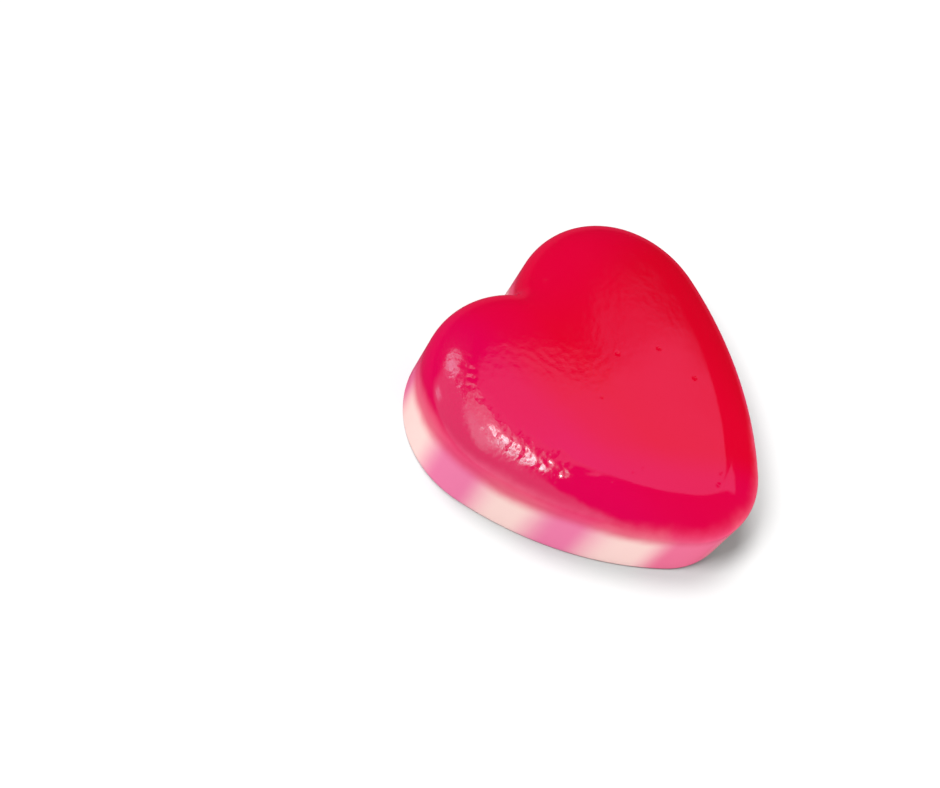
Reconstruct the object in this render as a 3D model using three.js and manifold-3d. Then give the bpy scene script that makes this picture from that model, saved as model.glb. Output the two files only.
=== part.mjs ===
// A heart-shaped hard candy, in millimetres with +Z up. A glossy red layer with a rounded shoulder lies
// on a cream base, and a fan of pink rays runs through the whole depth of that base, so that its stripes
// show at the side and underneath. The flat underside lies on Z = 0, centred on the origin, and the tip
// of the heart points to -Y.
import * as THREE from "three";
import { mergeVertices } from "three/addons/utils/BufferGeometryUtils.js";
import Module from "manifold-3d";

// Outline at its widest: one half is four arcs that meet without a corner, from the notch to the tip
const NOTCH_RADIUS = 0.8;
const NOTCH_TURN = THREE.MathUtils.degToRad(37.5);
const LOBE_RADIUS = 7.4;
const LOBE_TURN = THREE.MathUtils.degToRad(141.5);
const FLANK_RADIUS = 25.8;
const TIP_RADIUS = 6.1;

// Heights at the middle of the heart. The red layer is thicker at the lobes than at the tip
const BASE_HEIGHT = 4.6;
const RED_HEIGHT = 2.0;
const RED_SLOPE = 0.079;

// Rounded edges: how far the red layer's shoulder draws in, and the radius at the foot of the base
const SHOULDER_INSET = 3.15;
const FOOT_RADIUS = 0.45;

// Edges of the six pink rays, where they meet the outline: distance along it from the tip, - on the left
const RAYS = [
  [-11.1, -15.1],
  [-19.1, -23.5],
  [-28.2, -32.5],
  [32.0, 27.4],
  [22.2, 17.6],
  [13.6, 9.6],
];

// The rays spring from a pink stem at the outline, beside the tip
const STEM_PLACE = -3.6;
const STEM_RADIUS = 2.6;
const BUNDLE_RADIUS = 7.0;
const BUNDLE_SPREAD = 2.0;

// Clearance between a pink piece and the cream beside it
const CLEARANCE = 0.1;

// Fineness of the facets
const ARC_STEPS = 5;
const SHOULDER_STEPS = 9;
const FOOT_STEPS = 3;
const FAN_STEP = 0.9;
const FEWEST_SIDES = 24;

// Size of the cutters, wider and taller than the candy
const REACH = 40;

// The outline starts at the notch, so the tip is halfway along it
const TIP_SHARE = 0.5;

// Colours and gloss
const RED = { color: "#e00a3c", roughness: 0.12, metalness: 0 };
const PINK = { color: "#f08db3", roughness: 0.3, metalness: 0 };
const CREAM = { color: "#fcebe4", roughness: 0.3, metalness: 0 };

const wasm = await Module();
wasm.setup();

// Step from one end of an arc to the other, for headings in radians. A turn to the left has radius < 0
function arcStep(radius, from, to) {
  return new THREE.Vector2(
    radius * (Math.sin(from) - Math.sin(to)),
    radius * (Math.cos(to) - Math.cos(from)),
  );
}

// Centres, radii and headings of the arcs of the right half, with the middle of the heart at 0, 0. The
// lobe is two arcs, one before and one after its highest point, so that its facets are as fine as the rest
function halfOutline() {
  const lobeEnd = NOTCH_TURN - LOBE_TURN;
  const lobeX = arcStep(-NOTCH_RADIUS, 0, NOTCH_TURN).x + arcStep(LOBE_RADIUS, NOTCH_TURN, lobeEnd).x;
  const closing = (lobeX + FLANK_RADIUS * Math.sin(lobeEnd)) / (FLANK_RADIUS - TIP_RADIUS);
  const flankEnd = -Math.PI - Math.asin(closing);
  const turns = [
    [-NOTCH_RADIUS, 0, NOTCH_TURN],
    [LOBE_RADIUS, NOTCH_TURN, 0],
    [LOBE_RADIUS, 0, lobeEnd],
    [FLANK_RADIUS, lobeEnd, flankEnd],
    [TIP_RADIUS, flankEnd, -Math.PI],
  ];
  const place = new THREE.Vector2();
  const arcs = turns.map(([radius, from, to]) => {
    const centre = place.clone();
    centre.x += radius * Math.sin(from);
    centre.y -= radius * Math.cos(from);
    place.add(arcStep(radius, from, to));
    return { centre, radius, from, to };
  });
  const middle = (arcs[1].centre.y + LOBE_RADIUS + place.y) / 2;
  arcs.forEach((arc) => (arc.centre.y -= middle));
  return arcs;
}

// Adds one arc of the right half to a shape, or its mirror image on the left
function addArc(shape, { centre, radius, from, to }, left) {
  const quarter = radius > 0 ? Math.PI / 2 : -Math.PI / 2;
  const ends = left ? [Math.PI - from - quarter, Math.PI - to - quarter] : [to + quarter, from + quarter];
  const clockwise = radius < 0;
  shape.absarc(left ? -centre.x : centre.x, centre.y, Math.abs(radius), ...ends, clockwise);
}

// The closed outline, anticlockwise from the notch: down the left half and up the right one
function heartShape() {
  const arcs = halfOutline();
  const shape = new THREE.Shape();
  arcs.forEach((arc) => addArc(shape, arc, true));
  arcs.reverse().forEach((arc) => addArc(shape, arc, false));
  return shape;
}

// A closed solid for cutting and joining, from a geometry
function toSolid(geometry) {
  const bare = new THREE.BufferGeometry();
  bare.setAttribute("position", geometry.getAttribute("position"));
  bare.setIndex(geometry.getIndex());
  const merged = mergeVertices(bare);
  const vertProperties = merged.getAttribute("position").array;
  const triVerts = new Uint32Array(merged.getIndex().array);
  return new wasm.Manifold(new wasm.Mesh({ numProp: 3, vertProperties, triVerts }));
}

// A named mesh from a finished solid
function toMesh(name, solid, look) {
  const { numProp, vertProperties, triVerts } = solid.getMesh();
  const geometry = new THREE.BufferGeometry();
  const interleaved = new THREE.InterleavedBuffer(vertProperties, numProp);
  geometry.setAttribute("position", new THREE.InterleavedBufferAttribute(interleaved, 3, 0));
  geometry.setIndex(new THREE.BufferAttribute(triVerts, 1));
  const loose = geometry.toNonIndexed();
  loose.computeVertexNormals();
  const mesh = new THREE.Mesh(loose, new THREE.MeshStandardMaterial(look));
  mesh.name = name;
  return mesh;
}

// A block with the heart's outline whose upper and lower edges are rounded alike
function heartBlock(outline, low, high, rise, inset, steps) {
  const geometry = new THREE.ExtrudeGeometry(outline, {
    curveSegments: ARC_STEPS,
    depth: high - low - 2 * rise,
    bevelThickness: rise,
    bevelSize: inset,
    bevelOffset: -inset,
    bevelSegments: steps,
  });
  return geometry.translate(0, 0, low + rise);
}

// A slab wider than the candy, between two heights
function slab(low, high) {
  const geometry = new THREE.BoxGeometry(REACH, REACH, high - low);
  return toSolid(geometry.translate(0, 0, (low + high) / 2));
}

// The red layer: its side is all shoulder, and its top falls a little toward the tip
function redLayer(outline) {
  const top = BASE_HEIGHT + RED_HEIGHT;
  const block = heartBlock(outline, -RED_HEIGHT, top, RED_HEIGHT, SHOULDER_INSET, SHOULDER_STEPS);
  const place = block.getAttribute("position");
  for (let i = 0; i < place.count; i++) {
    const above = place.getZ(i) - BASE_HEIGHT;
    place.setZ(i, BASE_HEIGHT + above * (1 + (RED_SLOPE * place.getY(i)) / RED_HEIGHT));
  }
  return toSolid(block).subtract(slab(-REACH, BASE_HEIGHT));
}

// The whole base, before it is divided into stripes
function wholeBase(outline) {
  const block = heartBlock(outline, 0, 2 * BASE_HEIGHT, FOOT_RADIUS, FOOT_RADIUS, FOOT_STEPS);
  return toSolid(block).subtract(slab(BASE_HEIGHT, REACH));
}

// The stripes' own frame: where the stem stands, the way to the notch, and the way across, to the right
function fanFrame(outline) {
  const pointAt = (distance) => outline.getPointAt(TIP_SHARE + distance / outline.getLength());
  const stem = pointAt(STEM_PLACE);
  const along = outline.getPoint(0).sub(stem).normalize();
  const across = new THREE.Vector2(along.y, -along.x);
  return { pointAt, stem, across, along };
}

// Bend of the fan line through a point of the outline: one over the distance to its circle's centre.
// All lines of the fan are circles centred on one line through the stem, and they never meet
function fanBend(frame, distance) {
  const from = frame.pointAt(distance).sub(frame.stem);
  return (2 * from.dot(frame.across)) / (from.lengthSq() + 2 * BUNDLE_SPREAD);
}

// An upright disc through the base
function disc(centre, radius) {
  const sides = Math.max(FEWEST_SIDES, Math.ceil((2 * Math.PI * radius) / FAN_STEP));
  const geometry = new THREE.CylinderGeometry(radius, radius, REACH, sides);
  return toSolid(geometry.rotateX(Math.PI / 2).translate(centre.x, centre.y, 0));
}

// Keeps the part of a solid to the right or the left of a fan line, less a clearance
function trim(frame, solid, bend, side, clearance) {
  const centre = frame.stem.clone().addScaledVector(frame.across, 1 / bend);
  const radius = Math.sqrt(1 / bend ** 2 - 2 * BUNDLE_SPREAD);
  const inside = Math.sign(bend) === side;
  const cutter = disc(centre, radius + (inside ? -clearance : clearance));
  return inside ? solid.intersect(cutter) : solid.subtract(cutter);
}

// The part of a solid between two fan lines, either of which may be left out
function between(frame, solid, first, last, clearance) {
  let piece = solid;
  if (first !== undefined) piece = trim(frame, piece, first, 1, clearance);
  if (last !== undefined) piece = trim(frame, piece, last, -1, clearance);
  return piece;
}

// Six rays, joined by the stem and by the bundle in which they start
function pinkFan(frame, base, rays) {
  const bundle = between(frame, base, rays[0][0], rays.at(-1)[1], 0);
  let fan = base.intersect(disc(frame.stem, STEM_RADIUS));
  fan = fan.add(bundle.intersect(disc(frame.stem, BUNDLE_RADIUS)));
  for (const [first, last] of rays) fan = fan.add(between(frame, base, first, last, 0));
  return fan;
}

// The cream pieces: one beside the tip on each side, and one between each ray and the next
function creamPieces(frame, base, rays) {
  const first = [undefined, ...rays.map((ray) => ray[1])];
  const last = [...rays.map((ray) => ray[0]), undefined];
  return first.map((bend, i) => {
    const outer = bend === undefined || last[i] === undefined;
    const reach = outer ? STEM_RADIUS : BUNDLE_RADIUS;
    const piece = between(frame, base, bend, last[i], CLEARANCE);
    return piece.subtract(disc(frame.stem, reach + CLEARANCE));
  });
}

function candy() {
  const outline = heartShape();
  const frame = fanFrame(outline);
  const rays = RAYS.map((ray) => ray.map((distance) => fanBend(frame, distance)));
  const base = wholeBase(outline);
  const group = new THREE.Group();
  group.add(toMesh("red_layer", redLayer(outline), RED));
  group.add(toMesh("pink_fan", pinkFan(frame, base, rays), PINK));
  creamPieces(frame, base, rays).forEach((piece, i) => {
    group.add(toMesh(`cream_wedge_${i + 1}`, piece, CREAM));
  });
  return group;
}

export default candy();
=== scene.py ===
"""A heart-shaped hard candy: a glossy red sugar layer on a base of pink and cream stripes.

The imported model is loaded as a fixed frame. The pieces are then modelled in millimetres around the same
outline, cut from one block so that they meet without a seam, and dressed in red, pink and cream sugar.
"""

import logging
import math
import random
from collections.abc import Callable
from dataclasses import dataclass, field
from enum import Enum

import bmesh
import bpy
from mathutils import Matrix, Vector, kdtree, noise


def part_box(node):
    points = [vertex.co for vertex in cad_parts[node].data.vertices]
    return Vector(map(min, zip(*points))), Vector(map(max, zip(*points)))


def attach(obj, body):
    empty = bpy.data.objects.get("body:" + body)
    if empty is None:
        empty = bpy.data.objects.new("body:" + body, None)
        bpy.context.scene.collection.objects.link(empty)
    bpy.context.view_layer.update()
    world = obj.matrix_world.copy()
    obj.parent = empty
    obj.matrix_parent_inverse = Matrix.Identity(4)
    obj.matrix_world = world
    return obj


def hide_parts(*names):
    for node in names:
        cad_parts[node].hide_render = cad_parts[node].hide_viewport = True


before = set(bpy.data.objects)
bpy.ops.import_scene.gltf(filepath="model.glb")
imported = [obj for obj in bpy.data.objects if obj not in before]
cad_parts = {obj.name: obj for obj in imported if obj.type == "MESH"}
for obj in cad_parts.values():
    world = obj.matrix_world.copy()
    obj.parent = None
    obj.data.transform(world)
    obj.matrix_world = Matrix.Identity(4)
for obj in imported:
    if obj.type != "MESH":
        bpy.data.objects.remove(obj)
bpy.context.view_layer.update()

MM = 0.001
LOG = logging.getLogger("heart_candy")

# Millimetres within which points are joined, and within which a point counts as on a plane
JOIN_WITHIN = 0.025
ON_PLANE = 1e-6

# Edges that turn by more than this are shaded sharp
SHARP_TURN = math.radians(50)

Colour = tuple[float, float, float, float]
Value = bpy.types.NodeSocket | float
Paint = bpy.types.NodeSocket | tuple[float, ...]


class Slot(Enum):
    """The record's material slots."""

    RED = "red_sugar"
    PINK = "pink_sugar"
    CREAM = "cream_sugar"


class Use(Enum):
    """What a lamp is for."""

    MATTE = "lights the surfaces and leaves no reflection"
    GLINT = "shows as a reflection alone"
    FLOOR = "brightens the floor round the shadow"


class Cut(Enum):
    """The ways in which one solid shapes another."""

    KEEP_INSIDE = "INTERSECT"
    TAKE_AWAY = "DIFFERENCE"


def paint(code: str) -> Colour:
    """Turn a hex colour into a linear one.

    Args:
        code: Six hex digits, as a colour is written for the screen.

    Returns:
        Red, green, blue and an alpha of 1.
    """
    parts = [int(code[i : i + 2], 16) / 255 for i in (0, 2, 4)]
    linear = [c / 12.92 if c <= 0.04045 else ((c + 0.055) / 1.055) ** 2.4 for c in parts]
    return (*linear, 1.0)


def smooth_step(value: float, low: float, high: float) -> float:
    """Rise smoothly from 0 to 1.

    Args:
        value: The number looked at.
        low: Where the rise starts.
        high: Where the rise ends.

    Returns:
        0 before low, 1 past high, and an even S-curve between.
    """
    t = min(max((value - low) / (high - low), 0.0), 1.0)
    return t * t * (3 - 2 * t)


def applied(mesh: bpy.types.Mesh, prepare: Callable[[bpy.types.Object], None]) -> bpy.types.Mesh:
    """Apply modifiers to a mesh on a bench object that is thrown away afterwards.

    Args:
        mesh: The mesh worked on, which stays as it is.
        prepare: Adds the modifiers to the bench object.

    Returns:
        The new mesh.
    """
    bench = bpy.data.objects.new("bench", mesh)
    bpy.context.scene.collection.objects.link(bench)
    prepare(bench)
    graph = bpy.context.evaluated_depsgraph_get()
    result = bpy.data.meshes.new_from_object(bench.evaluated_get(graph))
    bpy.data.objects.remove(bench)
    return result


def to_mesh(bm: bmesh.types.BMesh) -> bpy.types.Mesh:
    """Turn a bmesh into mesh data and free it.

    Args:
        bm: The bmesh.

    Returns:
        The new mesh.
    """
    mesh = bpy.data.meshes.new("blank")
    bm.to_mesh(mesh)
    bm.free()
    return mesh


def carved(body: bpy.types.Mesh, tool: bpy.types.Mesh, cut: Cut) -> bpy.types.Mesh:
    """Shape one closed solid by another.

    Args:
        body: The solid that is shaped.
        tool: The solid that it is shaped by.
        cut: Whether the part inside the tool is kept or taken away.

    Returns:
        The shaped solid.
    """
    cutter = bpy.data.objects.new("cutter", tool)
    bpy.context.scene.collection.objects.link(cutter)

    def prepare(bench: bpy.types.Object) -> None:
        """Add the cut.

        Args:
            bench: The object that gets it.
        """
        modifier = bench.modifiers.new("cut", "BOOLEAN")
        modifier.solver = "MANIFOLD"
        modifier.operation = cut.value
        modifier.object = cutter

    result = applied(body, prepare)
    bpy.data.objects.remove(cutter)
    return result


@dataclass(frozen=True)
class Arc:
    """One arc of the outline's right half. Lengths are in millimetres and headings in radians."""

    centre: Vector
    radius: float
    start: float
    end: float

    @property
    def length(self) -> float:
        """Length along the arc."""
        return abs(self.radius * (self.end - self.start))

    def at(self, heading: float) -> Vector:
        """Point where the arc has a heading."""
        return self.centre + self.radius * Vector((-math.sin(heading), math.cos(heading), 0.0))


@dataclass
class HeartOutline:
    """The heart at its widest: one half is four arcs that meet without a corner, from notch to tip."""

    notch_radius: float = 0.8
    notch_turn: float = math.radians(37.5)
    lobe_radius: float = 7.4
    lobe_turn: float = math.radians(141.5)
    flank_radius: float = 25.8
    tip_radius: float = 6.1
    step: float = 0.25

    def arcs(self) -> list[Arc]:
        """Work out the arcs of the right half.

        Returns:
            The arcs from the notch to the tip, with the middle of the heart at the origin.
        """
        lobe_end = self.notch_turn - self.lobe_turn
        turns = [
            (-self.notch_radius, 0.0, self.notch_turn),
            (self.lobe_radius, self.notch_turn, 0.0),
            (self.lobe_radius, 0.0, lobe_end),
        ]
        lobe_x = sum(radius * (math.sin(a) - math.sin(b)) for radius, a, b in turns)
        closing = (lobe_x + self.flank_radius * math.sin(lobe_end)) / (self.flank_radius - self.tip_radius)
        flank_end = -math.pi - math.asin(closing)
        turns.append((self.flank_radius, lobe_end, flank_end))
        turns.append((self.tip_radius, flank_end, -math.pi))
        place = Vector((0.0, 0.0, 0.0))
        arcs = []
        for radius, start, end in turns:
            centre = place + radius * Vector((math.sin(start), -math.cos(start), 0.0))
            arcs.append(Arc(centre, radius, start, end))
            place = arcs[-1].at(end)
        middle = Vector((0.0, (arcs[1].at(0.0).y + place.y) / 2, 0.0))
        return [Arc(arc.centre - middle, arc.radius, arc.start, arc.end) for arc in arcs]

    def point_at(self, distance: float) -> Vector:
        """Find a point of the outline.

        Args:
            distance: Millimetres along the outline from the tip, negative on the left.

        Returns:
            The point, at height 0.
        """
        left = abs(distance)
        point = Vector((0.0, 0.0, 0.0))
        for arc in reversed(self.arcs()):
            point = arc.at(arc.end + (arc.start - arc.end) * min(left / arc.length, 1.0))
            if left <= arc.length:
                break
            left -= arc.length
        return Vector((math.copysign(point.x, distance), point.y, 0.0))

    def face(self, bm: bmesh.types.BMesh) -> bmesh.types.BMFace:
        """Draw the closed outline and fill it.

        Args:
            bm: An empty bmesh.

        Returns:
            The filled face, at height 0.
        """
        arcs = self.arcs()
        pen = bm.verts.new(arcs[0].at(arcs[0].start))
        for arc in arcs:
            steps = math.ceil(arc.length / self.step)
            turn = arc.end - arc.start
            drawn = bmesh.ops.spin(
                bm, geom=[pen], cent=arc.centre, axis=(0, 0, 1), angle=turn, steps=steps,
            )
            pen = drawn["geom_last"][0]
        half = bm.verts[:] + bm.edges[:]
        bmesh.ops.mirror(bm, geom=half, matrix=Matrix.Identity(4), merge_dist=JOIN_WITHIN, axis="X")
        return bmesh.ops.contextual_create(bm, geom=bm.edges[:])["faces"][0]


@dataclass(frozen=True)
class Ripple:
    """A soft unevenness of the surface, in millimetres."""

    height: float
    wave: float

    def at(self, place: Vector) -> float:
        """Rise of the surface at a place."""
        return self.height * noise.noise(place / self.wave)


@dataclass(frozen=True)
class Pits:
    """Small round pits left by air bubbles on part of the upper skin, in millimetres.

    The depth is a share of the radius. The lean is the range of the skin's normal's height, 1 where the
    skin is level. The pits lie between the corners low and high.
    """

    count: int
    radius: tuple[float, float]
    depth: float
    lean: tuple[float, float]
    low: tuple[float, float, float]
    high: tuple[float, float, float]

    def holds(self, vert: bmesh.types.BMVert) -> bool:
        """Tell whether a pit may lie at a vertex."""
        inside = all(a < b < c for a, b, c in zip(self.low, vert.co, self.high))
        return inside and self.lean[0] < vert.normal.z < self.lean[1]


@dataclass
class CandyForm:
    """The whole candy's form, before it is divided into pieces. Sizes are in millimetres.

    The skin is uneven above bumps_start, counted from the base, where it leans by bumps_lean at least and
    its normal is bumps_upright high, on the side where X is within rough_side, and wrinkled where Y is
    within wrinkled. Each pair is where the bumps begin and where they are full.
    """

    outline: HeartOutline
    base_height: float
    red_height: float = 2.0
    red_slope: float = 0.079
    shoulder_inset: float = 3.15
    foot_radius: float = 0.3
    shoulder_steps: int = 24
    foot_steps: int = 8
    grain: float = 0.1
    draft_grain: float = 0.18
    smoothing: int = 3
    smoothing_share: float = 0.5
    broad: tuple[Ripple, ...] = (Ripple(0.015, 8.0), Ripple(0.003, 2.4))
    shoulder_bumps: tuple[Ripple, ...] = (Ripple(0.012, 0.9), Ripple(0.005, 0.42))
    top_bumps: tuple[Ripple, ...] = (Ripple(0.0013, 1.1), Ripple(0.0013, 0.4))
    bumps_start: tuple[float, float] = (0.3, 1.2)
    bumps_lean: tuple[float, float] = (0.0032, 0.009)
    bumps_upright: tuple[float, float] = (0.62, 0.9)
    wrinkled: tuple[float, float] = (-1.0, 3.0)
    rough_side: tuple[float, float] = (-3.0, -7.5)
    pits: tuple[Pits, ...] = (
        Pits(18, (0.12, 0.22), 0.09, (0.3, 1.1), (-20.0, -20.0, 5.5), (20.0, 20.0, 9.0)),
        Pits(80, (0.2, 0.45), 0.038, (0.86, 0.9965), (-20.0, -1.5, 5.6), (-6.3, 8.6, 9.0)),
    )
    seed: int = 7

    def block(self) -> bpy.types.Mesh:
        """Model the coarse block: the outline drawn up, its shoulder and foot rounded.

        Returns:
            The block, with its foot on height 0.
        """
        bm = bmesh.new()
        face = self.outline.face(bm)
        upright = self.base_height + self.shoulder_inset
        raised = bmesh.ops.extrude_face_region(bm, geom=[face])["geom"]
        top = [part for part in raised if isinstance(part, bmesh.types.BMVert)]
        bmesh.ops.translate(bm, verts=top, vec=(0, 0, upright))
        bmesh.ops.recalc_face_normals(bm, faces=bm.faces[:])
        rounds = (
            (upright, self.shoulder_inset, self.shoulder_steps),
            (0.0, self.foot_radius, self.foot_steps),
        )
        for height, radius, steps in rounds:
            rim = [e for e in bm.edges if all(abs(v.co.z - height) < MM for v in e.verts)]
            bmesh.ops.bevel(
                bm, geom=rim, offset=radius, offset_type="OFFSET", segments=steps,
                profile=0.5, affect="EDGES", clamp_overlap=False, material=-1,
            )
        squeeze = self.red_height / self.shoulder_inset
        for vert in bm.verts:
            above = vert.co.z - self.base_height
            if above > 0:
                slope = 1 + self.red_slope * vert.co.y / self.red_height
                vert.co.z = self.base_height + above * squeeze * slope
        return to_mesh(bm)

    def fine(self, block: bpy.types.Mesh) -> bmesh.types.BMesh:
        """Give the block an even skin of small faces.

        Args:
            block: The coarse block.

        Returns:
            The fine solid, smoothed a little.
        """

        def prepare(bench: bpy.types.Object) -> None:
            """Add the even skin.

            Args:
                bench: The object that gets it.
            """
            modifier = bench.modifiers.new("skin", "REMESH")
            modifier.mode = "VOXEL"
            modifier.voxel_size = self.grain

        bm = bmesh.new()
        bm.from_mesh(applied(block, prepare))
        for _ in range(self.smoothing):
            bmesh.ops.smooth_vert(
                bm, verts=bm.verts[:], factor=self.smoothing_share,
                use_axis_x=True, use_axis_y=True, use_axis_z=True,
            )
        bm.normal_update()
        return bm

    def roughen(self, bm: bmesh.types.BMesh) -> None:
        """Move the skin in and out by the sugar's unevenness, most of all on the shoulder.

        Args:
            bm: The fine solid.
        """
        moves = []
        low, high = (self.base_height + start for start in self.bumps_start)
        for vert in bm.verts:
            place, normal = vert.co, vert.normal
            rise = sum(ripple.at(place) for ripple in self.broad)
            above = smooth_step(place.z, low, high)
            if above:
                lean = smooth_step(1 - normal.z, *self.bumps_lean)
                tilt = lean * smooth_step(normal.z, *self.bumps_upright)
                rough = smooth_step(-place.x, -self.rough_side[0], -self.rough_side[1])
                rise += above * tilt * rough * sum(ripple.at(place) for ripple in self.shoulder_bumps)
                far =smooth_step(place.y, *self.wrinkled)
                rise += above * (far * sum(ripple.at(place) for ripple in self.top_bumps))
            foot = smooth_step(place.z, 0.0, self.foot_radius)
            moves.append(normal * rise * foot)
        for vert, move in zip(bm.verts, moves):
            vert.co += move

    def dent(self, bm: bmesh.types.BMesh) -> None:
        """Press small round pits, left by air bubbles, into the upper skin.

        Args:
            bm: The fine solid.
        """
        dice = random.Random(self.seed)
        verts = [vert for vert in bm.verts if vert.co.z > self.base_height]
        tree = kdtree.KDTree(len(verts))
        for i, vert in enumerate(verts):
            tree.insert(vert.co, i)
        tree.balance()
        for pits in self.pits:
            places = [vert for vert in verts if pits.holds(vert)]
            for middle in dice.sample(places, pits.count):
                radius = dice.uniform(*pits.radius)
                inward = -middle.normal * radius * pits.depth
                for _, i, distance in tree.find_range(middle.co, radius):
                    verts[i].co += inward * smooth_step(1 - distance / radius, 0.0, 1.0)

    def solid(self) -> bmesh.types.BMesh:
        """Make the whole fine candy.

        Returns:
            One closed solid that rests on height 0.
        """
        bm = self.fine(self.block())
        self.roughen(bm)
        self.dent(bm)
        for vert in bm.verts:
            vert.co.z = max(vert.co.z, 0.0)
        bmesh.ops.triangulate(bm, faces=bm.faces[:])
        return bm

    def part(self, solid: bmesh.types.BMesh, upper: bool) -> bpy.types.Mesh:
        """Slice the candy where the red layer meets the base.

        Args:
            solid: The whole fine candy, which stays as it is.
            upper: True for the red layer, False for the base.

        Returns:
            The closed part above or below the slice.
        """
        bm = solid.copy()
        everything = bm.verts[:] + bm.edges[:] + bm.faces[:]
        level = (0, 0, self.base_height)
        sliced = bmesh.ops.bisect_plane(
            bm, geom=everything, dist=ON_PLANE, plane_co=level, plane_no=(0, 0, 1),
            clear_inner=upper, clear_outer=not upper,
        )
        rim = [part for part in sliced["geom_cut"] if isinstance(part, bmesh.types.BMEdge)]
        lid = bmesh.ops.contextual_create(bm, geom=rim)["faces"]
        bmesh.ops.triangulate(bm, faces=lid)
        bmesh.ops.recalc_face_normals(bm, faces=bm.faces[:])
        return to_mesh(bm)


@dataclass
class StripeFan:
    """Pink rays that spring from a stem beside the tip. Sizes are in millimetres.

    Each edge of a ray is part of a circle. All the circles are centred on one line through the stem and
    never meet. The bend of a circle is one over the distance from the stem to its centre.
    """

    outline: HeartOutline
    base_height: float
    rays: tuple[tuple[float, float], ...] = (
        (-11.1, -15.1),
        (-19.1, -23.5),
        (-28.2, -32.5),
        (32.0, 27.4),
        (22.2, 17.6),
        (13.6, 9.6),
    )
    stem_place: float = -3.6
    stem_radius: float = 2.6
    bundle_radius: float = 7.0
    spread: float = 2.0
    reach: float = 40.0
    side_step: float = 0.6
    fewest_sides: int = 96

    @property
    def stem(self) -> Vector:
        """Where the stem stands."""
        return self.outline.point_at(self.stem_place)

    @property
    def along(self) -> Vector:
        """The way from the stem to the notch."""
        notch = self.outline.arcs()[0]
        return (notch.at(notch.start) - self.stem).normalized()

    @property
    def across(self) -> Vector:
        """The way to the right of it."""
        return Vector((self.along.y, -self.along.x, 0.0))

    def bend(self, distance: float) -> float:
        """Bend of the circle through a point of the outline, given by its distance from the tip."""
        way = self.outline.point_at(distance) - self.stem
        return 2 * way.dot(self.across) / (way.length_squared + 2 * self.spread)

    def bends(self) -> list[tuple[float, float]]:
        """Bends of both edges of each ray, from the left."""
        return [(self.bend(first), self.bend(last)) for first, last in self.rays]

    def disc(self, centre: Vector, radius: float) -> bpy.types.Mesh:
        """Model an upright round cutter that reaches through the candy.

        Args:
            centre: Where it stands.
            radius: Its radius.

        Returns:
            The closed cutter.
        """
        bm = bmesh.new()
        sides = max(self.fewest_sides, math.ceil(2 * math.pi * radius / self.side_step))
        bmesh.ops.create_cone(
            bm, cap_ends=True, segments=sides, radius1=radius, radius2=radius, depth=self.reach,
        )
        bmesh.ops.translate(bm, verts=bm.verts[:], vec=centre)
        return to_mesh(bm)

    def trimmed(self, body: bpy.types.Mesh, bend: float, right: bool) -> bpy.types.Mesh:
        """Keep the part of a solid on one side of a circle of the fan.

        Args:
            body: The solid.
            bend: The circle's bend.
            right: True to keep what lies to the right of it.

        Returns:
            The part that is kept.
        """
        centre = self.stem + self.across / bend
        radius = math.sqrt(1 / bend**2 - 2 * self.spread)
        inside = (bend > 0) == right
        return carved(body, self.disc(centre, radius), Cut.KEEP_INSIDE if inside else Cut.TAKE_AWAY)

    def wedges(self) -> list[bpy.types.Mesh]:
        """Model a cutter of the shape of each cream piece.

        Returns:
            Cutters from the left of the tip round to its right.
        """
        bends = self.bends()
        before = [None] + [last for _, last in bends]
        after = [first for first, _ in bends] + [None]
        cutters = []
        for low, high in zip(before, after):
            wedge = self.disc(Vector((0.0, 0.0, 0.0)), self.reach)
            if low is not None:
                wedge = self.trimmed(wedge, low, True)
            if high is not None:
                wedge = self.trimmed(wedge, high, False)
            outer = low is None or high is None
            hub = self.disc(self.stem, self.stem_radius if outer else self.bundle_radius)
            cutters.append(carved(wedge, hub, Cut.TAKE_AWAY))
        return cutters


@dataclass(frozen=True)
class Cloud:
    """Cloudy noise: blobs of a size in millimetres, with finer layers, and how much it does."""

    wave: float
    strength: float
    detail: float = 2.0
    rough: float = 0.5


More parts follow.
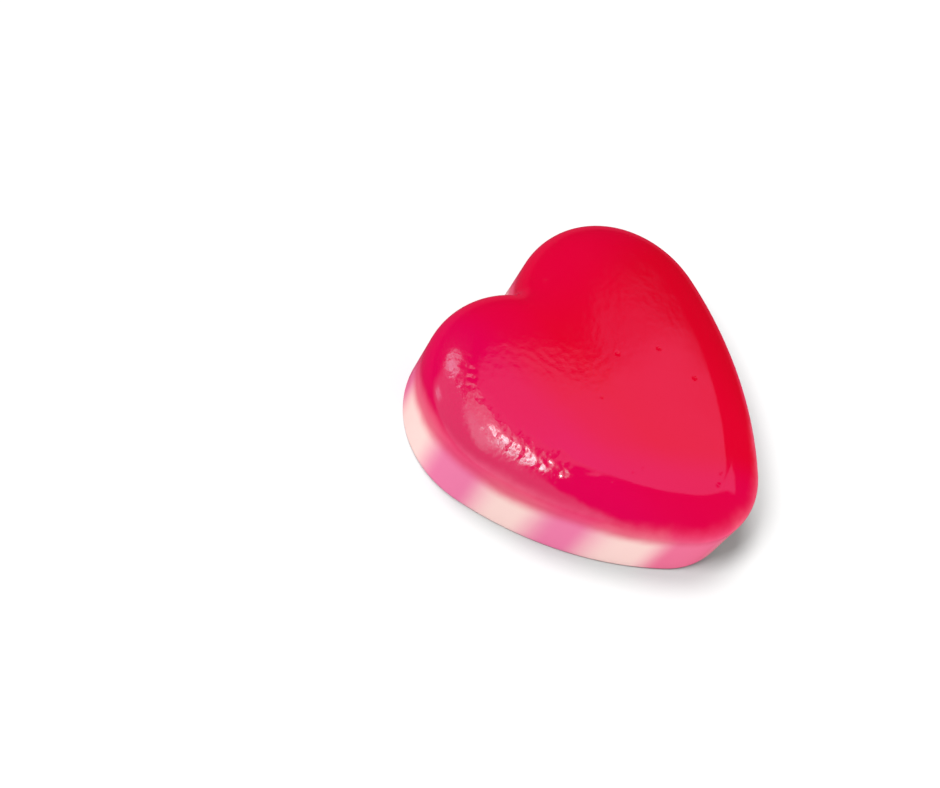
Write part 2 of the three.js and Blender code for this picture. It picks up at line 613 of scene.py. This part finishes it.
class Graph:
    """A node tree that is filled by plain calls."""

    def __init__(self, tree: bpy.types.NodeTree) -> None:
        """Take hold of the tree to fill."""
        self.tree = tree

    def node(self, kind: str, inputs: dict | None = None, **settings: str | bool) -> bpy.types.Node:
        """Add a node.

        Args:
            kind: The node's type, without the ShaderNode in front.
            inputs: Values or outputs of other nodes, by socket name or number.
            settings: The node's own settings.

        Returns:
            The node.
        """
        made = self.tree.nodes.new(kind if kind.startswith("Node") else f"ShaderNode{kind}")
        for name, value in settings.items():
            setattr(made, name, value)
        for name, value in (inputs or {}).items():
            if isinstance(value, bpy.types.NodeSocket):
                self.tree.links.new(value, made.inputs[name])
            else:
                made.inputs[name].default_value = value
        return made

    def math(self, operation: str, *values: Value, clamp: bool = False) -> bpy.types.NodeSocket:
        """Add a sum of values, kept between 0 and 1 where clamp is True."""
        return self.node("Math", dict(enumerate(values)), operation=operation, use_clamp=clamp).outputs[0]

    def vector(self, operation: str, *values: Value | Paint, output: str = "Vector") -> bpy.types.NodeSocket:
        """Add a sum of vectors and give the named output."""
        return self.node("VectorMath", dict(enumerate(values)), operation=operation).outputs[output]

    def rise(self, value: bpy.types.NodeSocket, low: Value, high: Value) -> bpy.types.NodeSocket:
        """Add a smooth rise from 0, where the value is low, to 1, where it is high."""
        ends = {"Value": value, "From Min": low, "From Max": high}
        return self.node("MapRange", ends, interpolation_type="SMOOTHSTEP").outputs["Result"]

    def mix(self, share: Value, first: Paint, second: Paint, blend: str = "MIX") -> bpy.types.NodeSocket:
        """Add a mix of two colours.

        Args:
            share: Share of the second colour.
            first: The first colour.
            second: The second colour.
            blend: How they are blended.

        Returns:
            The mixed colour.
        """
        made = self.node("Mix", {"Factor": share}, data_type="RGBA", blend_type=blend)
        for socket, value in ((made.inputs[6], first), (made.inputs[7], second)):
            if isinstance(value, bpy.types.NodeSocket):
                self.tree.links.new(value, socket)
            else:
                socket.default_value = value
        return made.outputs[2]

    def cloud(self, place: bpy.types.NodeSocket, cloud: Cloud) -> bpy.types.NodeSocket:
        """Add cloudy noise around 0.5, read at a place in millimetres."""
        inputs = {"Vector": place, "Scale": 1 / cloud.wave, "Detail": cloud.detail, "Roughness": cloud.rough}
        return self.node("TexNoise", inputs).outputs["Fac"]

    def ramp(self, value: Value, stops: list[tuple[float, Colour]]) -> bpy.types.NodeSocket:
        """Add a colour ramp.

        Args:
            value: Where on the ramp.
            stops: Positions from 0 to 1 with their colours.

        Returns:
            The colour.
        """
        made = self.node("ValToRGB", {"Fac": value})
        band = made.color_ramp
        while len(band.elements) < len(stops):
            band.elements.new(0.5)
        for element, (position, colour) in zip(band.elements, stops):
            element.position = position
            element.color = colour
        return made.outputs["Color"]


@dataclass(frozen=True)
class Socket:
    """A group's input or output."""

    name: str
    kind: str = "Float"
    value: float | Colour | None = None


def group(
    name: str,
    sockets_in: list[Socket],
    sockets_out: list[Socket],
    fill: Callable[[Graph, bpy.types.NodeOutputs], dict],
) -> bpy.types.NodeTree:
    """Build a shader node group.

    Args:
        name: The group's name.
        sockets_in: Its inputs.
        sockets_out: Its outputs.
        fill: Adds the nodes, and gives the value of each output by its name.

    Returns:
        The group.
    """
    tree = bpy.data.node_groups.new(name, "ShaderNodeTree")
    for way, sockets in (("INPUT", sockets_in), ("OUTPUT", sockets_out)):
        for socket in sockets:
            made = tree.interface.new_socket(socket.name, in_out=way, socket_type=f"NodeSocket{socket.kind}")
            if socket.value is not None:
                made.default_value = socket.value
    graph = Graph(tree)
    given = graph.node("NodeGroupInput").outputs
    graph.node("NodeGroupOutput", fill(graph, given))
    return tree


@dataclass
class SugarEffects:
    """The shader groups that the candy's materials share.

    Lengths are in millimetres. A pair of places is where an effect begins and where it is full. A sink is
    the power and the strength with which the red comes down over the base toward the lobes or the tip. A
    veil is such a pair and the share of red that it adds to the stripes below it.
    """

    fan: StripeFan
    form: CandyForm
    warp: float = 0.35
    warp_scale: float = 0.33
    warp_detail: float = 2.0
    bundle_fade: tuple[float, float] = (0.78, 9.2)
    deep_stem: tuple[float, float] = (4.5, 1.5)
    stem_tint: Colour = (0.99, 0.84, 0.8, 1.0)
    lobe_sink: tuple[float, float] = (5.0, 8e-6)
    tip_sink: tuple[float, float] = (2.0, 0.0025)
    sways: tuple[Cloud, ...] = (Cloud(3.5, 0.5), Cloud(0.7, 0.2))
    tip_seep: tuple[float, float] = (-8.0, 0.085)
    soaked: tuple[float, float] = (0.6, -0.22)
    veils: tuple[tuple[float, float, float], ...] = ((-1.5, 0.1, 0.88), (0.1, 0.7, 0.06))
    veil_colour: str = "e03e6a"
    deep_red: tuple[float, float] = (0.3, 1.2)
    # The red's tones from the near side (-X) to the far side (+X) are its own colour with painted light and
    # shade: bluer on the near side as painted cool light, darker on the far side as painted shade. Toward the
    # tip and the far lobe the red turns bluer (end_colour).
    tone_span: float = 26.0
    shaded_tones: tuple[tuple[float, str], ...] = (
        (0.1, "cc004a"),
        (0.25, "cb0044"),
        (0.33, "cb0033"),
        (0.45, "cb0025"),
        (0.6, "cb0027"),
        (0.7, "ca0025"),
        (0.8, "c3001f"),
        (0.9, "be001d"),
    )
    end_colour: str = "cb0048"
    tip_end: tuple[float, float] = (-5.0, -9.0)
    tip_share: float = 0.6
    lobe_end: tuple[float, float] = (5.0, 10.0)
    lobe_share: float = 0.25
    peel: Cloud = Cloud(0.3, 0.0004, 2.0, 0.6)
    peel_gain: float = 0.0012
    grain: Cloud = Cloud(0.3, 0.014, 1.5)
    grain_leans: tuple[tuple[float, float], ...] = ((0.9972, 0.99), (0.6, 0.88))
    grain_side: tuple[float, float] = (-5.5, -8.5)
    grain_far: tuple[float, float] = (-3.0, 1.5)
    gloss: Cloud = Cloud(1.3, 0.06, 3.0)
    least_rough: float = 0.03
    grain_rough: float = 0.12
    groups: dict[str, bpy.types.NodeTree] = field(default_factory=dict)

    def build(self) -> None:
        """Build each group once."""
        place, colour = Socket("Place", "Vector"), Socket("Color", "Color")
        stripes = [place, Socket("Pink", "Color"), Socket("Cream", "Color"), Socket("Softness")]
        self.groups["stripes"] = group("fan_stripes", stripes, [colour], self.stripes)
        self.groups["red"] = group("red_over_stripes", [place, Socket("Under", "Color")], [colour], self.red)
        skin = [place, Socket("Normal", "Vector"), Socket("Shoulder", "Float", 1.0)]
        results = [Socket("Height"), Socket("Roughness")]
        self.groups["skin"] = group("sugar_skin", skin, results, self.skin)

    def stripes(self, graph: Graph, given: bpy.types.NodeOutputs) -> dict:
        """Paint the pink rays, the stem and the bundle between them on cream.

        Args:
            graph: The group's tree.
            given: The group's inputs.

        Returns:
            The group's outputs.
        """
        fan = self.fan
        noisy = {"Vector": given["Place"], "Scale": self.warp_scale, "Detail": self.warp_detail}
        wobble = graph.node("TexNoise", noisy)
        shift = graph.vector("SUBTRACT", wobble.outputs["Color"], (0.5, 0.5, 0.5))
        moved = graph.vector("MULTIPLY_ADD", shift, (self.warp, self.warp, 0.0), given["Place"])
        flat = graph.vector("MULTIPLY", moved, (1.0, 1.0, 0.0))
        way = graph.vector("SUBTRACT", flat, tuple(fan.stem))
        aside = graph.vector("DOT_PRODUCT", way, tuple(fan.across), output="Value")
        away = graph.vector("LENGTH", way, output="Value")
        spread = graph.math("MULTIPLY_ADD", away, away, 2 * fan.spread)
        bend = graph.math("DIVIDE", graph.math("MULTIPLY", aside, 2.0), spread)
        scale = graph.math("MULTIPLY", spread, 0.5)
        soft = given["Softness"]
        hard = graph.math("MULTIPLY", soft, -1.0)

        def between(first: float, last: float) -> bpy.types.NodeSocket:
            """Add a mask of what lies between two bends of the fan.

            Args:
                first: Bend on the left.
                last: Bend on the right.

            Returns:
                1 between them and 0 outside, with a soft edge.
            """
            off = graph.math("ABSOLUTE", graph.math("SUBTRACT", bend, (first + last) / 2))
            inward = graph.math("MULTIPLY", graph.math("SUBTRACT", (last - first) / 2, off), scale)
            return graph.rise(inward, hard, soft)

        rays = 0.0
        for first, last in fan.bends():
            rays = graph.math("MAXIMUM", between(first, last), rays)
        inner = between(fan.bends()[0][0], fan.bends()[-1][1])
        bundle = graph.rise(away, *self.bundle_fade)
        beside = graph.rise(graph.math("SUBTRACT", away, fan.stem_radius), hard, soft)
        bare = graph.node("Mix", {0: inner, 2: beside, 3: bundle}).outputs[0]
        cream = graph.math("MULTIPLY", graph.math("SUBTRACT", 1.0, rays), bare, clamp=True)
        pink = graph.mix(graph.rise(away, *self.deep_stem), given["Pink"], self.stem_tint, "MULTIPLY")
        return {"Color": graph.mix(cream, pink, given["Cream"])}

    def red(self, graph: Graph, given: bpy.types.NodeOutputs) -> dict:
        """Lay the translucent red over the stripes: salmon where it is thin, deep where it is thick, with
        painted light and shade across X.

        Args:
            graph: The group's tree.
            given: The group's inputs.

        Returns:
            The group's outputs.
        """
        place = given["Place"]
        parts = graph.node("SeparateXYZ", {0: place}).outputs
        sunk = graph.math("SUBTRACT", parts["Z"], self.form.base_height)
        for half, (power, strength) in (("MAXIMUM", self.lobe_sink), ("MINIMUM", self.tip_sink)):
            sink = graph.math("POWER", graph.math(half, parts["Y"], 0.0), power)
            sunk = graph.math("MULTIPLY_ADD", sink, strength, sunk)
        for cloud in self.sways:
            sway = graph.math("SUBTRACT", graph.cloud(place, cloud), 0.5)
            sunk = graph.math("MULTIPLY_ADD", sway, cloud.strength, sunk)
        tipward = graph.node("Clamp", {0: parts["Y"], 1: self.tip_seep[0], 2: 0.0}).outputs[0]
        paleness = graph.node("SeparateColor", {0: given["Under"]}).outputs["Green"]
        soaked = graph.math("MULTIPLY_ADD", paleness, *self.soaked)
        seeping = graph.math("ADD", graph.math("MULTIPLY_ADD", tipward, self.tip_seep[1], sunk), soaked)
        share = 0.0
        for low, high, part in self.veils:
            share = graph.math("MULTIPLY_ADD", graph.rise(seeping, low, high), part, share)
        veil = graph.mix(share, given["Under"], paint(self.veil_colour))
        # Painted light and shade across the red: bluer toward the near side (-X), darker toward the far side
        # (+X).
        near_to_far = graph.math("MULTIPLY_ADD", parts["X"], 1 / self.tone_span, 0.5, clamp=True)
        shaded_tones = graph.ramp(near_to_far, [(position, paint(code)) for position, code in self.shaded_tones])
        tip = graph.rise(graph.math("ADD", parts["X"], parts["Y"]), *self.tip_end)
        ends = graph.math("MULTIPLY", graph.rise(parts["Y"], *self.lobe_end), self.lobe_share)
        ends = graph.math("MULTIPLY_ADD", tip, self.tip_share, ends)
        tone = graph.mix(ends, shaded_tones, paint(self.end_colour))
        return {"Color": graph.mix(graph.rise(sunk, *self.deep_red), veil, tone)}

    def skin(self, graph: Graph, given: bpy.types.NodeOutputs) -> dict:
        """Give the surface its fine orange peel, stronger on a shoulder.

        Args:
            graph: The group's tree.
            given: The group's inputs.

        Returns:
            The group's outputs.
        """
        place = given["Place"]
        parts = graph.node("SeparateXYZ", {0: place}).outputs
        far = graph.rise(parts["Y"], *self.form.wrinkled)
        far = graph.math("MULTIPLY_ADD", far, self.peel_gain, self.peel.strength)
        peel = graph.math("MULTIPLY", graph.cloud(place, self.peel), far)
        lean = graph.node("SeparateXYZ", {0: given["Normal"]}).outputs["Z"]
        tilt = graph.math("MULTIPLY", *(graph.rise(lean, *limits) for limits in self.grain_leans))
        side = graph.rise(parts["X"], *self.grain_side)
        near = graph.math("MULTIPLY", side, graph.rise(parts["Y"], *self.grain_far))
        rough = graph.math("MULTIPLY", graph.math("MULTIPLY", tilt, near), given["Shoulder"])
        grain = graph.math("MULTIPLY", graph.cloud(place, self.grain), self.grain.strength)
        height = graph.math("MULTIPLY_ADD", grain, rough, peel)
        gloss = graph.cloud(place, self.gloss)
        gloss = graph.math("MULTIPLY_ADD", gloss, self.gloss.strength, self.least_rough)
        gloss = graph.math("MULTIPLY_ADD", rough, self.grain_rough, gloss)
        return {"Height": height, "Roughness": gloss}


@dataclass(frozen=True)
class SugarFinish:
    """A glossy boiled sugar.

    The stripes are crisp on level skin and blurred on upright skin, by millimetres. The skin counts as
    level and as upright where its normal's height is that of the pair upright.
    """

    name: str
    pink: str = "ef80ab"
    cream: str = "fcdcd5"
    crisp: float = 0.3
    blurred: float = 1.15
    shoulder: float = 1.0
    upright: tuple[float, float] = (0.9, 0.3)
    refraction: float = 1.5

    def material(self, effects: SugarEffects) -> bpy.types.Material:
        """Build the material.

        Args:
            effects: The shared shader groups.

        Returns:
            The material.
        """
        made = bpy.data.materials.new(self.name)
        made.use_nodes = True
        made.node_tree.nodes.clear()
        graph = Graph(made.node_tree)
        where = graph.node("TexCoord").outputs
        place = graph.vector("SCALE", where["Object"])
        place.node.inputs["Scale"].default_value = 1 / MM
        upright = graph.node("SeparateXYZ", {0: where["Normal"]}).outputs["Z"]
        upright = graph.rise(graph.math("ABSOLUTE", upright), *self.upright)
        softness = graph.math("MULTIPLY_ADD", upright, self.blurred - self.crisp, self.crisp)
        painted = {"Place": place, "Pink": paint(self.pink), "Cream": paint(self.cream), "Softness": softness}
        stripes = self.placed(graph, effects.groups["stripes"], painted)
        colour = self.placed(graph, effects.groups["red"], {"Place": place, "Under": stripes["Color"]})
        touched = {"Place": place, "Normal": where["Normal"], "Shoulder": self.shoulder}
        skin = self.placed(graph, effects.groups["skin"], touched)
        bump = graph.node("Bump", {"Height": skin["Height"], "Distance": MM, "Strength": 1.0})
        shader = graph.node("BsdfPrincipled", {
            "Base Color": colour["Color"],
            "Roughness": skin["Roughness"],
            "Normal": bump.outputs["Normal"],
            "IOR": self.refraction,
        })
        graph.node("OutputMaterial", {"Surface": shader.outputs["BSDF"]})
        return made

    @staticmethod
    def placed(graph: Graph, tree: bpy.types.NodeTree, inputs: dict) -> bpy.types.NodeOutputs:
        """Place a group in a material.

        Args:
            graph: The material's tree.
            tree: The group.
            inputs: The group's inputs by name.

        Returns:
            The group's outputs.
        """
        made = graph.tree.nodes.new("ShaderNodeGroup")
        made.node_tree = tree
        for name, value in inputs.items():
            if isinstance(value, bpy.types.NodeSocket):
                graph.tree.links.new(value, made.inputs[name])
            else:
                made.inputs[name].default_value = value
        return made.outputs


def finished(
    name: str,
    mesh: bpy.types.Mesh,
    finish: bpy.types.Material,
    slot: Slot,
    *nodes: str,
) -> bpy.types.Object:
    """Finish a piece: bring it to metres, smooth it, dress it and fix it to the candy.

    Args:
        name: The piece's name.
        mesh: Its closed mesh in millimetres.
        finish: Its material.
        slot: The record's slot for the piece. It is not used.
        nodes: The CAD nodes that it stands for.

    Returns:
        The piece.
    """
    mesh.name = name
    mesh.transform(Matrix.Scale(MM, 4))
    mesh.materials.clear()
    mesh.materials.append(finish)
    mesh.polygons.foreach_set("use_smooth", [True] * len(mesh.polygons))
    mesh.polygons.foreach_set("material_index", [0] * len(mesh.polygons))
    mesh.set_sharp_from_angle(angle=SHARP_TURN)
    piece = bpy.data.objects.new(name, mesh)
    bpy.context.scene.collection.objects.link(piece)
    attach(piece, "root")
    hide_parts(*nodes)
    LOG.info("%s: %d faces, stands for %s", name, len(mesh.polygons), ", ".join(nodes))
    return piece


@dataclass
class RedLayer:
    """The glossy red layer with its rounded shoulder."""

    form: CandyForm

    def build(self, solid: bmesh.types.BMesh, effects: SugarEffects) -> None:
        """Cut the layer from the whole candy and dress it.

        Args:
            solid: The whole fine candy.
            effects: The shared shader groups.
        """
        finish = SugarFinish("red_boiled_sugar")
        layer = self.form.part(solid, upper=True)
        finished("red_sugar_layer", layer, finish.material(effects), Slot.RED, "red_layer")


@dataclass
class StripedBase:
    """The flat base: a fan of pink sugar with cream sugar between its rays."""

    form: CandyForm
    fan: StripeFan

    def build(self, solid: bmesh.types.BMesh, effects: SugarEffects) -> None:
        """Cut the base from the whole candy, divide it into stripes and dress them.

        Args:
            solid: The whole fine candy.
            effects: The shared shader groups.
        """
        pink = SugarFinish("pink_pulled_sugar").material(effects)
        cream = SugarFinish("cream_pulled_sugar").material(effects)
        base = self.form.part(solid, upper=False)
        rest = base
        for number, wedge in enumerate(self.fan.wedges(), 1):
            piece = carved(base, wedge, Cut.KEEP_INSIDE)
            rest = carved(rest, wedge, Cut.TAKE_AWAY)
            finished(f"cream_sugar_{number}", piece, cream, Slot.CREAM, f"cream_wedge_{number}")
        finished("pink_sugar_fan", rest, pink, Slot.PINK, "pink_fan")


@dataclass(frozen=True)
class SkyLight:
    """A round light far away. Bearings and heights are in degrees, the bearing from +X to +Y."""

    name: str
    bearing: float
    height: float
    width: float
    power: float
    use: Use

    def add(self) -> bpy.types.Object:
        """Add the light.

        Returns:
            The placed light.
        """
        lamp = bpy.data.lights.new(self.name, "SUN")
        lamp.angle = math.radians(self.width)
        lamp.energy = self.power
        placed = bpy.data.objects.new(self.name, lamp)
        bpy.context.scene.collection.objects.link(placed)
        placed.rotation_euler = toward(self.bearing, self.height).to_track_quat("Z", "Y").to_euler()
        limit_use(placed, self.use)
        return placed


@dataclass(frozen=True)
class Pane:
    """A bright convex pane of the room, which only the candy's gloss mirrors.

    Its corners are bearings and heights in degrees, in order round it. Each edge fades over twice its
    softness in radians, which is one for all edges, or one for the edge that starts at each corner.
    """

    corners: tuple[tuple[float, float], ...]
    radiance: tuple[float, float, float]
    softness: float | tuple[float, ...]

    def glow(self, graph: Graph, way: bpy.types.NodeSocket) -> bpy.types.NodeSocket:
        """Add the pane's light.

        Args:
            graph: The room's node tree.
            way: The direction looked along.

        Returns:
            The light that comes from there.
        """
        middle = sum((toward(*corner) for corner in self.corners), Vector())
        soft = self.softness if isinstance(self.softness, tuple) else (self.softness,) * len(self.corners)
        share = 1.0
        for first, second, fade in zip(self.corners, self.corners[1:] + self.corners[:1], soft):
            inward = toward(*first).cross(toward(*second)).normalized()
            inward *= math.copysign(1.0, inward.dot(middle))
            depth = graph.vector("DOT_PRODUCT", way, tuple(inward), output="Value")
            share = graph.math("MULTIPLY", graph.rise(depth, -fade, fade), share)
        return graph.vector("MULTIPLY", share, self.radiance)


def limit_use(lamp: bpy.types.Object, use: Use) -> None:
    """Limit a lamp to what it is for.

    Args:
        lamp: The lamp.
        use: What it is for.
    """
    lamp.visible_glossy = use is Use.GLINT
    lamp.visible_diffuse = use is not Use.GLINT


def toward(bearing: float, height: float) -> Vector:
    """Direction from the candy.

    Args:
        bearing: Degrees from +X to +Y.
        height: Degrees above the floor.

    Returns:
        The direction, of length 1.
    """
    turn, rise = math.radians(bearing), math.radians(height)
    return Vector((math.cos(rise) * math.cos(turn), math.cos(rise) * math.sin(turn), math.sin(rise)))


@dataclass
class Studio:
    """The pale floor, the lights and the camera.

    Places are in millimetres and the floor's size in metres. The floor is mirrored where a direction's
    height is within floor_edge. The panes are the window that the flat top mirrors, in six parts, the
    strip light of the shoulder with its two bright cores, the sheen of the near side, and two glints.
    """

    camera_place: Vector = field(default_factory=lambda: Vector((-70.83, -8.53, 98.81)))
    camera_aim: Vector = field(default_factory=lambda: Vector((-5.16, 7.73, 0.0)))
    camera_roll: float = math.radians(33.77)
    lens: float = 65.1
    floor_size: float = 4.0
    floor_colour: str = "959595"
    sky: float = 0.7
    mirrored_sky: float = 0.02
    mirrored_floor: tuple[float, float, float] = (0.5, 0.04, 0.1)
    backdrop: float = 1.0
    floor_edge: tuple[float, float] = (0.05, -0.2)
    floor_only: bpy.types.Collection = field(
        default_factory=lambda: bpy.data.collections.new("floor_only")
    )
    suns: tuple[SkyLight, ...] = (
        SkyLight("key_light", 94, 68, 22, 1.4, Use.MATTE),
        SkyLight("near_floor_light", 94, 66, 24, 3.0, Use.FLOOR),
        SkyLight("far_floor_light", 148, 52, 18, 5.4, Use.FLOOR),
        SkyLight("lobe_fill", 115, 12, 60, 0.9, Use.MATTE),
        SkyLight("left_fill", -155, 18, 60, 0.35, Use.MATTE),
        SkyLight("tip_fill", -60, 15, 60, 1.6, Use.MATTE),
        SkyLight("shoulder_glint", -68, 81, 5, 0.25, Use.GLINT),
    )
    panes: tuple[Pane, ...] = (
        Pane(
            ((1.2, 56.6), (0.6, 54.9), (-3.7, 52.6), (-3.7, 56.4)),
            (0.9, 0.5, 0.75), (0.004, 0.005, 0.012, 0.004),
        ),
        Pane(
            ((-0.7, 51.7), (-0.7, 49.8), (-3.7, 49.8), (-3.7, 52.6)),
            (0.0, 0.25, 0.5), (0.018, 0.007, 0.012, 0.005),
        ),
        Pane(
            ((-3.7, 56.4), (-3.7, 49.8), (-16, 49.7), (-16, 53)),
            (0.9, 0.5, 1.05), (0.012, 0.004, 0.004, 0.004),
        ),
        Pane(((-16, 53), (-16, 45), (-21, 42.5), (-31, 40), (-18.5, 52)), (0.9, 0.5, 1.05), 0.004),
        Pane(
            ((1.2, 56.6), (-3.7, 56.4), (-8, 69), (20, 70)),
            (0.9, 0.6, 0.85), (0.004, 0.02, 0.1, 0.02),
        ),
        Pane(
            ((-3.7, 56.4), (-9, 55.1), (-17, 64), (-8, 69)),
            (0.9, 0.6, 0.85), (0.004, 0.02, 0.1, 0.02),
        ),
        Pane(
            (
                (-13.4, 68.4), (4.8, 65.9), (80.5, 77.8), (147.5, 63.9),
                (177.5, 45), (-167, 36.6), (-138, 63.1), (-76, 75),
            ),
            (0.8, 2.6, 2.6), (0.05, 0.07, 0.07, 0.15, 0.15, 0.12, 0.05, 0.04),
        ),
        Pane(
            (
                (-36.9, 72.5), (-38.4, 74.7), (-90, 81.1), (-158.2, 68.5),
                (-159.9, 62.3), (-133, 69.5), (-82.4, 74.9),
            ),
            (2.0, 7.8, 7.4), 0.05,
        ),
        Pane(((-129.3, 75.8), (-72.5, 80), (-72.3, 76.9), (-118.1, 73)), (2.2, 13.0, 13.5), 0.03),
        Pane(
            ((122, -5), (100, 40), (95, 55), (-140, 74.4), (-115, 35), (-160, -15)),
            (0.2, 0.9, 1.1), 0.12,
        ),
        Pane(((66, 64), (104, 54), (103, 30), (88, 38)), (1.6, 5.6, 6.6), 0.07),
        Pane(((122, 14), (131, 19), (133, 5), (125, 1)), (0.6, 2.0, 2.4), 0.05),
    )

    def build(self) -> None:
        """Set up the studio."""
        self.lay_floor()
        self.light_sky()
        for sun in self.suns:
            placed = sun.add()
            if sun.use is Use.FLOOR:
                placed.light_linking.receiver_collection = self.floor_only
        self.place_camera()
        bpy.context.scene.view_settings.view_transform = "Standard"

    def lay_floor(self) -> None:
        """Lay a plain pale floor."""
        bm = bmesh.new()
        bmesh.ops.create_grid(bm, x_segments=1, y_segments=1, size=self.floor_size / 2)
        floor = bpy.data.objects.new("floor", to_mesh(bm))
        bpy.context.scene.collection.objects.link(floor)
        paper = bpy.data.materials.new("pale_paper")
        paper.use_nodes = True
        shader = paper.node_tree.nodes["Principled BSDF"]
        shader.inputs["Base Color"].default_value = paint(self.floor_colour)
        shader.inputs["Roughness"].default_value = 1.0
        shader.inputs["Specular IOR Level"].default_value = 0.0
        floor.data.materials.append(paper)
        floor.visible_glossy = False
        self.floor_only.objects.link(floor)

    def light_sky(self) -> None:
        """Fill the room with even light, hang its bright panes, and show a pale backdrop to the camera."""
        world = bpy.data.worlds.new("room")
        world.use_nodes = True
        world.node_tree.nodes.clear()
        graph = Graph(world.node_tree)
        ray = graph.node("LightPath").outputs
        even = graph.math("MULTIPLY_ADD", ray["Is Camera Ray"], self.backdrop - self.sky, self.sky)
        way = graph.node("TexCoord").outputs["Generated"]
        below = graph.rise(graph.node("SeparateXYZ", {0: way}).outputs["Z"], *self.floor_edge)
        mirrored = graph.vector("MULTIPLY_ADD", below, self.mirrored_floor, (self.mirrored_sky,) * 3)
        for pane in self.panes:
            mirrored = graph.vector("ADD", pane.glow(graph, way), mirrored)
        seen = graph.mix(ray["Is Glossy Ray"], even, mirrored)
        sky = graph.node("Background", {"Color": seen})
        graph.node("OutputWorld", {"Surface": sky.outputs[0]})
        world.cycles.sampling_method = "NONE"
        bpy.context.scene.world = world

    def place_camera(self) -> None:
        """Place the camera where the photograph was taken from."""
        camera = bpy.data.cameras.new("camera")
        camera.lens = self.lens
        camera.clip_start = MM
        placed = bpy.data.objects.new("camera", camera)
        bpy.context.scene.collection.objects.link(placed)
        aim = (self.camera_aim - self.camera_place).to_track_quat("-Z", "Y").to_matrix().to_4x4()
        turn = Matrix.Rotation(self.camera_roll, 4, "Z")
        placed.matrix_world = Matrix.Translation(self.camera_place * MM) @ aim @ turn
        bpy.context.scene.camera = placed


def main() -> None:
    """Build the studio and then the candy, piece by piece."""
    logging.basicConfig(level=logging.INFO, format="%(message)s")
    Studio().build()
    base_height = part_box("pink_fan")[1].z / MM
    outline = HeartOutline()
    form = CandyForm(outline, base_height)
    fan = StripeFan(outline, base_height)
    effects = SugarEffects(fan, form)
    effects.build()
    solid = form.solid()
    LOG.info("whole candy: %d faces", len(solid.faces))
    RedLayer(form).build(solid, effects)
    StripedBase(form, fan).build(solid, effects)
    solid.free()


if __name__ == "__main__":
    main()
